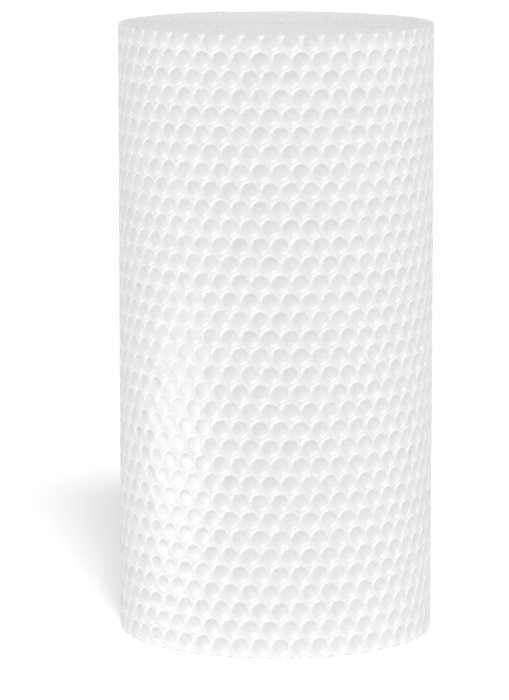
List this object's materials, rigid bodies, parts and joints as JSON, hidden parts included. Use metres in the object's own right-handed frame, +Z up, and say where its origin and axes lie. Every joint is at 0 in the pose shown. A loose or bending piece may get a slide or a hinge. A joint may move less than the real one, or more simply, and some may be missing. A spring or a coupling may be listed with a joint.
{
  "type": "bubble wrap roll",
  "caption": "Coreless roll of small-bubble cushioning film standing on its end, bubbles outwards, with the wound turns showing as a spiral on both flat ends.",
  "frame": {"origin": "middle of the lower end, on the roll's axis, where the roll stands", "axes": "+Z up along the roll's axis, -Y towards the front that the picture shows, +X to the right of that view; the sheet's free edge is at the back"},
  "size_m": [0.157, 0.1532, 0.3048],
  "materials": {
    "polythene_film": "clear polythene film, glossy, white where many turns lie on each other"
  },
  "bodies": {
    "root": {"bubble_wrap_roll": "polythene_film"}
  },
  "joints": []
}
